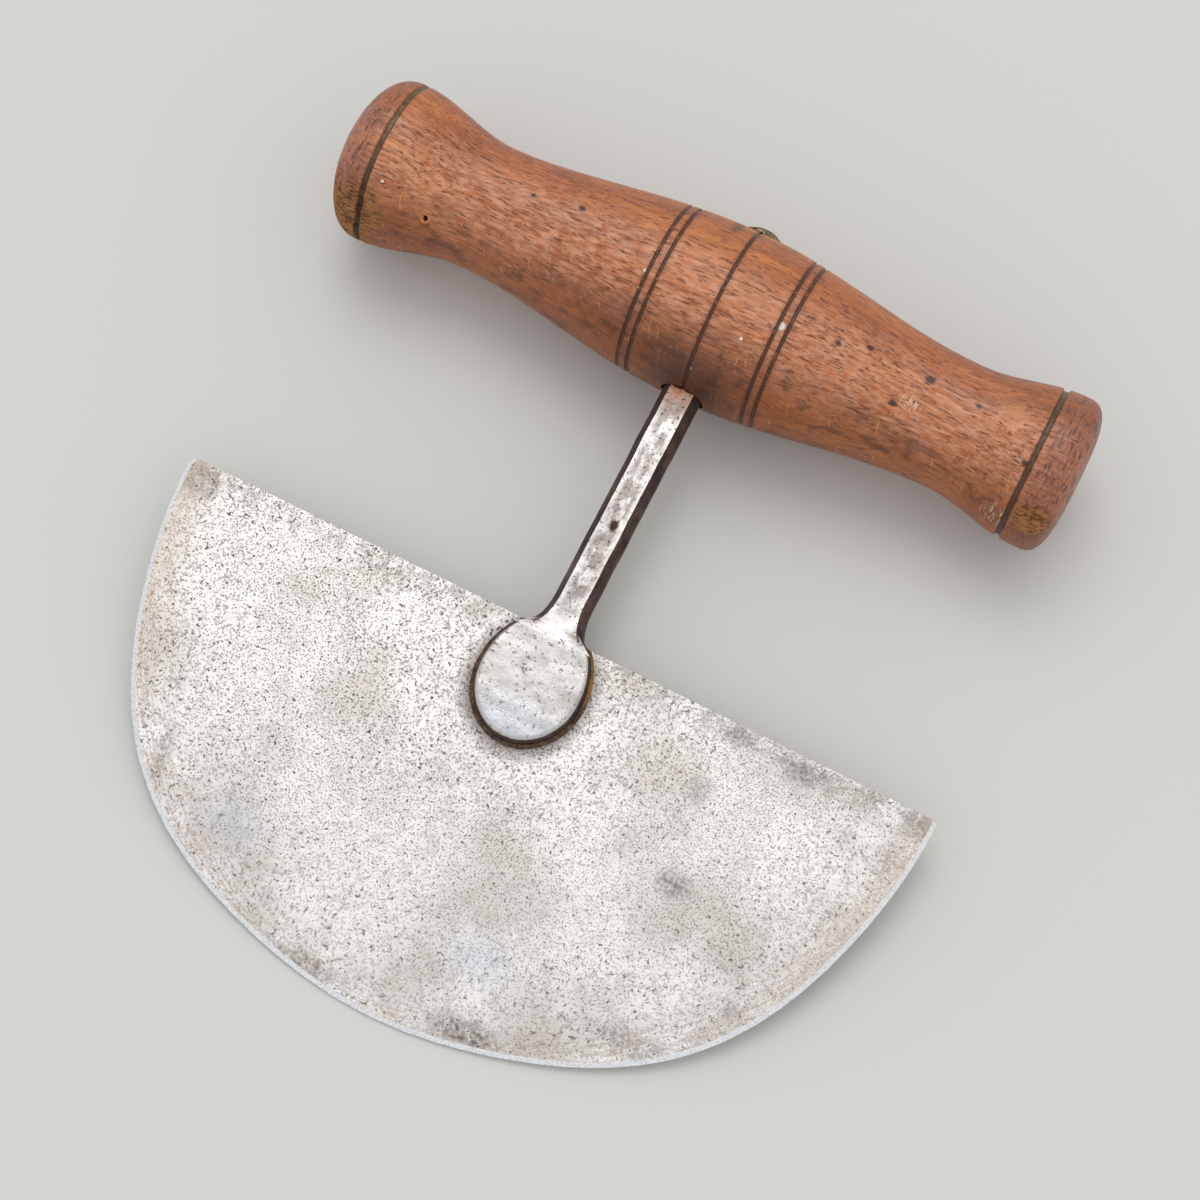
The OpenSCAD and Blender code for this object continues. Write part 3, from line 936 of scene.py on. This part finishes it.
def declare(piece: bpy.types.Object, node: str) -> None:
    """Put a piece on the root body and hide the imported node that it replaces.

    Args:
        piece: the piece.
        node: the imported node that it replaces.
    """
    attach(piece, "root")
    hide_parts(node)


@dataclass
class Blade:
    """The half-moon plate: level under the cheeks, ground thinner to the rim, bevelled at the edge."""

    bulge: float = 0.036
    rim_half_t: float = 0.55
    edge_half_t: float = 0.1
    bevel_w: float = 0.9
    # The share of the outline that keeps the full thickness
    flat_share: float = 0.3254
    left_corner_r: float = 1.5
    right_corner_r: float = 0.7
    corner_cuts_deg: tuple[int, ...] = (15, 30, 45, 60, 75)
    # The worn rim: how deep and long its waves are, their share on the right, and where they start
    wear_depth: float = 0.07
    wear_l: float = 3.5
    wear_right: float = 0.6
    wear_below: float = 3.0
    segments: int = 480
    sharp_deg: float = 12.0

    def build(self) -> bpy.types.Object:
        """Build the plate.

        Returns:
            The piece.
        """
        bm = bmesh.new()
        self.draw_outline(bm)
        self.wear_rim(bm)
        self.raise_levels(bm)
        open_floor(bm)
        mirror_down(bm)
        piece = make_piece("moon_blade", bm, [ForgedSteel().make(), GroundBevel().make()], self.sharp_deg)
        declare(piece, "blade")
        return piece

    def draw_outline(self, bm: bmesh.types.BMesh) -> None:
        """Draw the flat outline: half a circle with fuller shoulders and rounded corners.

        Args:
            bm: the empty mesh that takes it.
        """
        bmesh.ops.create_circle(bm, cap_ends=True, radius=1.0, segments=self.segments)
        cut_plane(bm, Vector((0, 0, 0)), Vector((0, 1, 0)), drop_beyond=True)
        for v in bm.verts:
            angle = math.atan2(-v.co.y, v.co.x)
            full = 1 + self.bulge * math.sin(2 * angle) ** 4
            v.co = Vector((v.co.x * full * BLADE_HALF_W, SPINE_Y + v.co.y * full * BLADE_DEPTH, 0))
        for way, radius in ((-1, self.left_corner_r), (1, self.right_corner_r)):
            centre = Vector((way * (BLADE_HALF_W - radius), SPINE_Y - radius, 0))
            for degrees in self.corner_cuts_deg:
                angle = math.radians(degrees)
                out = Vector((way * math.cos(angle), math.sin(angle), 0))
                cut_plane(bm, centre + out * radius, out, drop_beyond=True)

    def wear_rim(self, bm: bmesh.types.BMesh) -> None:
        """Move the rim inwards in small uneven waves.

        Args:
            bm: the flat outline.
        """
        for v in bm.verts:
            if v.co.y < SPINE_Y - self.wear_below:
                inward = (Vector((0, SPINE_Y, 0)) - v.co).normalized()
                share = 1 if v.co.x < 0 else self.wear_right
                v.co += inward * self.wear_depth * (1 + ruffle(v.co, self.wear_l)) * share

    def raise_levels(self, bm: bmesh.types.BMesh) -> None:
        """Raise the outline through the edge, the bevel's top and the level middle.

        Args:
            bm: the flat outline.
        """
        rim_share = 1 - self.bevel_w / BLADE_HALF_W
        last_share, last_height = 1.0, 0.0
        for share, height in ((1.0, self.edge_half_t), (rim_share, self.rim_half_t),
                              (self.flat_share, BLADE_HALF_T)):
            cap = max(bm.faces, key=lambda face: (round(face.calc_center_median().z, 6), face.calc_area()))
            grown = bmesh.ops.extrude_face_region(bm, geom=[cap])["geom"]
            fresh = [item for item in grown if isinstance(item, bmesh.types.BMVert)]
            if cap.is_valid and last_height > 0:
                bm.faces.remove(cap)
            scale = share / last_share
            for v in fresh:
                v.co = Vector((v.co.x * scale, SPINE_Y + (v.co.y - SPINE_Y) * scale, height))
            for face in {face for v in fresh for face in v.link_faces}:
                face.material_index = int(share == rim_share and self.on_bevel(face, height))
            last_share, last_height = share, height

    @staticmethod
    def on_bevel(face: bmesh.types.BMFace, top: float) -> bool:
        """Return whether a face slopes up to this height and isn't on the spine."""
        middle = face.calc_center_median()
        return middle.z < top - 0.01 and middle.y < SPINE_Y - 0.1


@dataclass(frozen=True)
class Cheek:
    """The oval that lies on the blade: half its width, its middle, and its reach below and above that."""

    half_w: float = 10.15
    middle_y: float = -78.1
    below: float = 11.4
    above: float = 13.56


@dataclass
class Shank:
    """The forging: rounded cheeks, a stem with straight sloped flanks, and a tang riveted at the back."""

    cheek: Cheek = Cheek()
    shoulder_half: float = 6.6
    shoulder_l: float = 7.0
    stem_half: float = 3.7
    stem_z: float = 3.5
    cheek_z: float = 3.8
    # How far in from the outline the stem's flank and the cheek's rounded rim reach their full height
    flank_in: float = 1.35
    rim_in: float = 1.1
    rim_power: float = 2.8
    rim_steps: tuple[float, ...] = (0.12, 0.14, 0.18, 0.24, 0.3, 0.37)
    # The cheek's height turns into the stem's over this length, from this far before the spine
    blend_before: float = 2.0
    blend_l: float = 7.0
    # Shares of the outline at which the cheek's lower part, its upper part, the shoulder and the stem end
    cheek_end: float = 0.42
    top_end: float = 0.6
    shoulder_end: float = 0.75
    stem_end: float = 0.99
    cut_pitch: float = 1.4
    cuts: int = 54
    cuts_before: float = 21.0
    # Hammer marks on the faces, and the waver of the stem's flanks: depth and length
    hammered: Span = (0.07, 3.0)
    waver: Span = (0.1, 5.0)
    # Where the waver sets in and where it is gone: a y and the length of the change
    waver_from: Span = (-64.0, 6.0)
    waver_to: Span = (-19.0, 4.0)
    waver_side: float = 9.0
    # The riveted head's profile: radius and place along the tang
    head: tuple[Span, ...] = ((TANG_R, 17.85), (3.1, 17.86), (3.0, 18.15), (2.5, 18.45), (1.6, 18.6),
                              (0.0, 18.64))
    tang_steps: int = 64
    segments: int = 322
    slot_l: float = 40.0
    sharp_deg: float = 32.0

    def build(self) -> bpy.types.Object:
        """Build the forging.

        Returns:
            The piece.
        """
        bm = bmesh.new()
        self.draw_outline(bm)
        self.raise_faces(bm)
        open_floor(bm)
        for i in range(self.cuts):
            y = SPINE_Y - self.cuts_before + self.cut_pitch * i
            cut_plane(bm, Vector((0, y, 0)), Vector((0, 1, 0)))
        self.hammer(bm)
        mirror_down(bm)
        self.add_tang(bm)
        piece = make_piece("forged_shank", bm, [BurnishedForging().make()], self.sharp_deg)
        self.cut_slot(piece)
        declare(piece, "shank")
        return piece

    def outline(self, share: float) -> tuple[float, float]:
        """Follow the right-hand outline from the cheek's foot to the top of the stem.

        Args:
            share: how far along it, from 0 to 1.

        Returns:
            The half width and the y there.
        """
        cheek = self.cheek
        top_angle = math.acos(self.shoulder_half / cheek.half_w)
        if share < self.cheek_end:
            angle = -math.pi / 2 * (1 - share / self.cheek_end)
            return cheek.half_w * math.cos(angle), cheek.middle_y + cheek.below * math.sin(angle)
        if share < self.top_end:
            angle = top_angle * (share - self.cheek_end) / (self.top_end - self.cheek_end)
            rise = (SPINE_Y - cheek.middle_y) / math.sin(top_angle)
            return cheek.half_w * math.cos(angle), cheek.middle_y + rise * math.sin(angle)
        if share < self.shoulder_end:
            angle = math.pi / 2 * (share - self.top_end) / (self.shoulder_end - self.top_end)
            return (self.stem_half + (self.shoulder_half - self.stem_half) * (1 - math.sin(angle)),
                    SPINE_Y + self.shoulder_l * (1 - math.cos(angle)))
        start = SPINE_Y + self.shoulder_l
        along = min(1.0, (share - self.shoulder_end) / (self.stem_end - self.shoulder_end))
        return self.stem_half, start + (STEM_TOP_Y - start) * along

    def height(self, inset: float, y: float) -> float:
        """Work out the height above the blade's middle.

        Args:
            inset: the distance in from the outline.
            y: the place along the tool.

        Returns:
            The height, in mm.
        """
        stem = BLADE_HALF_T + (self.stem_z - BLADE_HALF_T) * min(1.0, inset / self.flank_in)
        curve = (1 - (1 - min(1.0, inset / self.rim_in)) ** self.rim_power) ** (1 / self.rim_power)
        cheek = BLADE_HALF_T + (self.cheek_z - BLADE_HALF_T) * curve
        along = clamp((y - SPINE_Y + self.blend_before) / self.blend_l)
        blend = along * along * (3 - 2 * along)
        return cheek * (1 - blend) + stem * blend

    def draw_outline(self, bm: bmesh.types.BMesh) -> None:
        """Bend a circle to the outline.

        Args:
            bm: the empty mesh that takes it.
        """
        bmesh.ops.create_circle(bm, cap_ends=True, radius=1.0, segments=self.segments)
        for v in bm.verts:
            angle = math.degrees(math.atan2(v.co.y, abs(v.co.x)))
            half, y = self.outline((angle + 90) / 180)
            v.co = Vector((math.copysign(half, v.co.x), y, 0))

    def raise_faces(self, bm: bmesh.types.BMesh) -> None:
        """Raise the outline to the blade's face, then inset it in steps that climb the rims.

        Args:
            bm: the flat outline.
        """
        bm.faces.ensure_lookup_table()
        for item in bmesh.ops.extrude_face_region(bm, geom=[bm.faces[0]])["geom"]:
            if isinstance(item, bmesh.types.BMVert):
                item.co.z = BLADE_HALF_T
        inset = 0.0
        for step in self.rim_steps:
            inset += step
            cap = max(bm.faces, key=lambda face: (face.calc_center_median().z > BLADE_HALF_T - 0.1,
                                                  face.calc_area()))
            bmesh.ops.inset_region(bm, faces=[cap], thickness=step, depth=0.0, use_even_offset=True)
            for v in cap.verts:
                v.co.z = self.height(inset, v.co.y)

    def hammer(self, bm: bmesh.types.BMesh) -> None:
        """Give the faces hammer marks and the stem's flanks a slight waver.

        Args:
            bm: the upper half of the forging.
        """
        depth, length = self.hammered
        sway, sway_l = self.waver
        for v in bm.verts:
            if v.co.z > BLADE_HALF_T + 0.01:
                v.co.z += depth * ruffle(v.co, length)
            rise = clamp((v.co.y - self.waver_from[0]) / self.waver_from[1])
            fall = clamp((self.waver_to[0] - v.co.y) / self.waver_to[1])
            side = Vector((math.copysign(self.waver_side, v.co.x), v.co.y, 0))
            v.co.x += sway * rise * fall * ruffle(side, sway_l)

    def add_tang(self, bm: bmesh.types.BMesh) -> None:
        """Add the tang and its hammered head as one turned, closed shape.

        Args:
            bm: the whole forging.
        """
        foot = STEM_TOP_Y - 0.01
        profile = [(0.0, foot, 0.0), (TANG_R, foot, 0.0)] + [(r, y, 0.0) for r, y in self.head]
        turn(bm, profile, (0, 1, 0), self.tang_steps)

    def cut_slot(self, piece: bpy.types.Object) -> None:
        """Cut the slot that the blade fills.

        Args:
            piece: the forging.
        """
        slot = bmesh.new()
        bmesh.ops.create_cube(slot, size=1.0)
        bmesh.ops.scale(slot, vec=(self.slot_l, self.slot_l, 2 * BLADE_HALF_T), verts=slot.verts)
        bmesh.ops.translate(slot, vec=(0, SPINE_Y - self.slot_l / 2, 0), verts=slot.verts)
        carve(piece, slot, self.sharp_deg)


@dataclass(frozen=True)
class Groove:
    """Turned grooves of one kind: their places, half their width and their depth."""

    places: tuple[float, ...]
    half_w: float
    depth: float


@dataclass(frozen=True)
class Dent:
    """A chip, dent or hole: its place, its reach, its depth and how rough its floor is."""

    at: Place
    reach: float
    depth: float
    rough: float


@dataclass
class Handle:
    """The turned handle, with its grooves, chips, socket, bore and washer seat."""

    left: float = 78.4
    right: float = 72.4
    belly_r: float = 17.3
    # Each neck's distance from the middle and its radius
    neck_left: Span = (49.5, 12.2)
    neck_right: Span = (47.5, 12.3)
    end_left_r: float = 16.0
    end_right_r: float = 15.2
    # The length over which each end rounds off, and the power of its curve
    nose_left: float = 8.2
    nose_right: float = 5.4
    nose_left_power: float = 2.3
    nose_right_power: float = 3.2
    belly_left_power: float = 0.9
    grooves: tuple[Groove, ...] = (Groove(FINE_GROOVES_X, 0.4, 0.3),
                                   Groove((LEFT_GROOVE_X, RIGHT_GROOVE_X), 0.7, 0.55))
    groove_points: tuple[float, ...] = (-1, -0.8, -0.5, 0, 0.5, 0.8, 1)
    groove_clear: float = 0.25
    pitch: float = 0.7
    nose_left_points: int = 22
    nose_right_points: int = 18
    # Uneven turning and raised grain: depth and length
    uneven: Span = (0.05, 9.0)
    raised_grain: Span = (0.02, 1.6)
    dents: tuple[Dent, ...] = (
        Dent((-72.0, -12.5, 7.0), 8.0, 0.9, 1.04), Dent((-75.5, -9.5, 10.0), 3.0, 1.4, 0.4),
        Dent((67.8, -11.5, 9.0), 4.2, 0.8, 0.64), Dent(WORM_HOLE, 0.7, 1.2, 0.0),
        Dent((70.0, 6.0, 12.0), 3.0, 0.4, 0.24))
    dent_grain: float = 1.1
    dent_seed: float = 3.0
    socket_r: float = 4.32
    seat_r: float = 4.4
    bore_y: Span = (-15.0, 18.0)
    past_belly: float = 2.0
    hole_segments: int = 72
    steps: int = 224
    # Points nearer the axis than this stay where they are, so the middles of the ends stay closed
    unworn_r: float = 0.5
    sharp_deg: float = 30.0

    def build(self) -> bpy.types.Object:
        """Build the handle.

        Returns:
            The piece.
        """
        bm = bmesh.new()
        profile = [(x, max(0.0, self.radius(x) - self.groove_depth(x)), 0.0) for x in self.stations()]
        turn(bm, profile, (1, 0, 0), self.steps)
        for v in bm.verts:
            if v.co.yz.length > self.unworn_r:
                v.co = self.wear(v.co)
        piece = make_piece("turned_handle", bm, [StainedBeech().make()], self.sharp_deg)
        outside = self.belly_r + self.past_belly
        self.drill(piece, self.socket_r, (-outside, STEM_TOP_Y))
        self.drill(piece, self.seat_r, (WASHER_SEAT_Y, outside))
        self.drill(piece, BORE_R, self.bore_y)
        declare(piece, "handle")
        return piece

    def radius(self, x: float) -> float:
        """Follow the turned outline, without its grooves.

        Args:
            x: the place along the handle.

        Returns:
            The radius there.
        """
        (left, left_r), (right, right_r) = self.neck_left, self.neck_right
        left_flare = self.left - self.nose_left
        right_flare = self.right - self.nose_right
        if x < -left_flare:
            along = clamp((-left_flare - x) / self.nose_left)
            return self.end_left_r * (1 - along ** self.nose_left_power) ** (1 / self.nose_left_power)
        if x < -left:
            return left_r + (self.end_left_r - left_r) * ease((-x - left) / (left_flare - left))
        if x < 0:
            return left_r + (self.belly_r - left_r) * ease((1 + x / left) ** self.belly_left_power)
        if x < right:
            return right_r + (self.belly_r - right_r) * ease(1 - x / right)
        if x < right_flare:
            return right_r + (self.end_right_r - right_r) * ease((x - right) / (right_flare - right))
        along = clamp((x - right_flare) / self.nose_right)
        return self.end_right_r * (1 - along ** self.nose_right_power) ** (1 / self.nose_right_power)

    def groove_depth(self, x: float) -> float:
        """Work out how deep a groove is cut.

        Args:
            x: the place along the handle.

        Returns:
            The depth there, or 0 between grooves.
        """
        depth = 0.0
        for groove in self.grooves:
            for place in groove.places:
                off = abs(x - place) / groove.half_w
                if off < 1:
                    depth = max(depth, groove.depth * (1 - off ** 3))
        return depth

    def stations(self) -> list[float]:
        """Choose where the profile has a point: evenly, closer in the grooves and round the ends.

        Returns:
            The places along the handle, in order.
        """
        start = -self.left + self.nose_left
        length = self.left + self.right - self.nose_left - self.nose_right
        even = [start + self.pitch * i for i in range(1, int(length / self.pitch) + 1)]
        cut = [place + groove.half_w * share for groove in self.grooves for place in groove.places
               for share in self.groove_points]
        clear = [x for x in even if all(abs(x - place) > self.groove_clear for place in cut)]
        noses = [-self.left + self.nose_left * (1 - math.cos(math.pi / 2 * i / self.nose_left_points))
                 for i in range(self.nose_left_points + 1)]
        noses += [self.right - self.nose_right * (1 - math.cos(math.pi / 2 * i / self.nose_right_points))
                  for i in range(self.nose_right_points + 1)]
        return sorted(set(round(x, 4) for x in clear + cut + noses))

    def wear(self, point: Vector) -> Vector:
        """Wear a point of the turned surface.

        Args:
            point: the point, in mm.

        Returns:
            The point after the chips, the dents and the worm hole.
        """
        inward = Vector((0, -point.y, -point.z)).normalized()
        drop = self.uneven[0] * (1 + ruffle(point, self.uneven[1]))
        drop += self.raised_grain[0] * ruffle(point, self.raised_grain[1])
        for dent in self.dents:
            near = (point - Vector(dent.at)).length / dent.reach
            if near < 1:
                floor = dent.depth + dent.rough * ruffle(point, self.dent_grain, self.dent_seed)
                drop += (1 - near * near) ** 2 * floor
        return point + inward * max(0.0, drop)

    def drill(self, piece: bpy.types.Object, radius: float, span: Span) -> None:
        """Drill a round hole along the tool's y.

        Args:
            piece: the handle.
            radius: the hole's radius.
            span: the y at which it starts and ends.
        """
        low, high = span
        hole = bmesh.new()
        bmesh.ops.create_cone(hole, cap_ends=True, segments=self.hole_segments, radius1=radius,
                              radius2=radius, depth=high - low)
        bmesh.ops.rotate(hole, cent=(0, 0, 0), matrix=Matrix.Rotation(math.pi / 2, 3, "X"), verts=hole.verts)
        bmesh.ops.translate(hole, vec=(0, (low + high) / 2, 0), verts=hole.verts)
        carve(piece, hole, self.sharp_deg)


@dataclass
class Washer:
    """The brass washer under the riveted head, slightly domed."""

    outer: float = 4.1
    high: float = 17.84
    wall: float = 0.45
    shoulder_in: float = 0.25
    shoulder_down: float = 0.18
    dome_in: float = 0.8
    steps: int = 96

    def build(self) -> bpy.types.Object:
        """Build the washer.

        Returns:
            The piece.
        """
        bm = bmesh.new()
        low = WASHER_SEAT_Y
        ring = [(BORE_R, low, 0.0), (self.outer, low, 0.0), (self.outer, low + self.wall, 0.0),
                (self.outer - self.shoulder_in, self.high - self.shoulder_down, 0.0),
                (self.outer - self.dome_in, self.high, 0.0), (BORE_R, self.high, 0.0)]
        turn(bm, ring, (0, 1, 0), self.steps, closed=True)
        piece = make_piece("domed_washer", bm, [DulledBrass().make()])
        declare(piece, "washer")
        return piece


@dataclass
class Fillet:
    """The brazed fillet round one cheek, its outer edge drawn down to the blade."""

    side: Side
    cheek: Cheek = Cheek()
    outer_share: float = 1.02
    above_blade: float = 0.1
    edge_t: float = 0.04
    finish: DulledBrass = DulledBrass("oxidised_spelter", "7d654c", "5a483b", "382b24", "a87b3d")

    def build(self) -> bpy.types.Object:
        """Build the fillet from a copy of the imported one.

        Returns:
            The piece.
        """
        bm = bmesh.new()
        bm.from_mesh(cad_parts[self.side.value].data)
        bmesh.ops.remove_doubles(bm, verts=bm.verts, dist=PACKED_MERGE)
        bmesh.ops.transform(bm, matrix=TOOL_TO_FRAME.inverted(), verts=bm.verts)
        for v in bm.verts:
            reach = self.cheek.below if v.co.y <= self.cheek.middle_y else self.cheek.above
            out = Vector((v.co.x / self.cheek.half_w, (v.co.y - self.cheek.middle_y) / reach)).length
            if out > self.outer_share and abs(v.co.z) > BLADE_HALF_T + self.above_blade:
                v.co.z = math.copysign(BLADE_HALF_T + self.edge_t, v.co.z)
        piece = make_piece("spelter_fillet_" + self.side.name.lower(), bm, [self.finish.make()])
        declare(piece, self.side.value)
        return piece


@dataclass(frozen=True)
class Studio:
    """The table, the soft daylight and the camera."""

    table: str = "d3d3d0"
    table_rough: float = 0.7
    table_half: float = 3.0
    sky: float = 0.82
    lamp_energy: float = 0.66
    lamp_size_deg: float = 36.0
    lamp_turn_deg: Place = (-22.0, -14.0, 0.0)
    camera_at_mm: Place = (66.475, -138.165, 458.127)
    camera_turn_deg: Place = (19.043, -1.247, 26.966)
    focal_px: float = 2600.0
    picture_px: float = 1200.0
    sensor_mm: float = 36.0
    nearest: float = 0.01

    def build(self) -> None:
        """Make the table, the light and the camera."""
        scene = bpy.context.scene
        scene.view_settings.view_transform = "Standard"
        material = bpy.data.materials.new("painted_table")
        material.use_nodes = True
        shader = material.node_tree.nodes["Principled BSDF"]
        shader.inputs["Base Color"].default_value = srgb(self.table)
        shader.inputs["Roughness"].default_value = self.table_rough
        bpy.ops.mesh.primitive_plane_add(size=2 * self.table_half)
        table = bpy.context.object
        table.name = "table"
        table.data.materials.append(material)

        world = bpy.data.worlds.new("daylight")
        scene.world = world
        world.use_nodes = True
        background = world.node_tree.nodes["Background"]
        background.inputs["Color"].default_value = (1.0, 1.0, 1.0, 1.0)
        background.inputs["Strength"].default_value = self.sky

        lamp = bpy.data.objects.new("soft_lamp", bpy.data.lights.new("soft_lamp", "SUN"))
        lamp.data.energy = self.lamp_energy
        lamp.data.angle = math.radians(self.lamp_size_deg)
        lamp.rotation_euler = Euler([math.radians(a) for a in self.lamp_turn_deg])
        scene.collection.objects.link(lamp)

        camera = bpy.data.objects.new("camera", bpy.data.cameras.new("camera"))
        scene.collection.objects.link(camera)
        camera.location = Vector(self.camera_at_mm) * MM
        camera.rotation_euler = Euler([math.radians(a) for a in self.camera_turn_deg])
        camera.data.sensor_width = self.sensor_mm
        camera.data.lens = self.sensor_mm * self.focal_px / self.picture_px
        camera.data.clip_start = self.nearest
        scene.camera = camera


def main() -> None:
    """Build the pieces and the scene."""
    logging.basicConfig(level=logging.INFO)
    for part in (Blade(), Shank(), Handle(), Washer(), Fillet(Side.FRONT), Fillet(Side.BACK)):
        piece = part.build()
        LOG.info("%s stands for its packed node", piece.name)
    Studio().build()


if __name__ == "__main__":
    main()
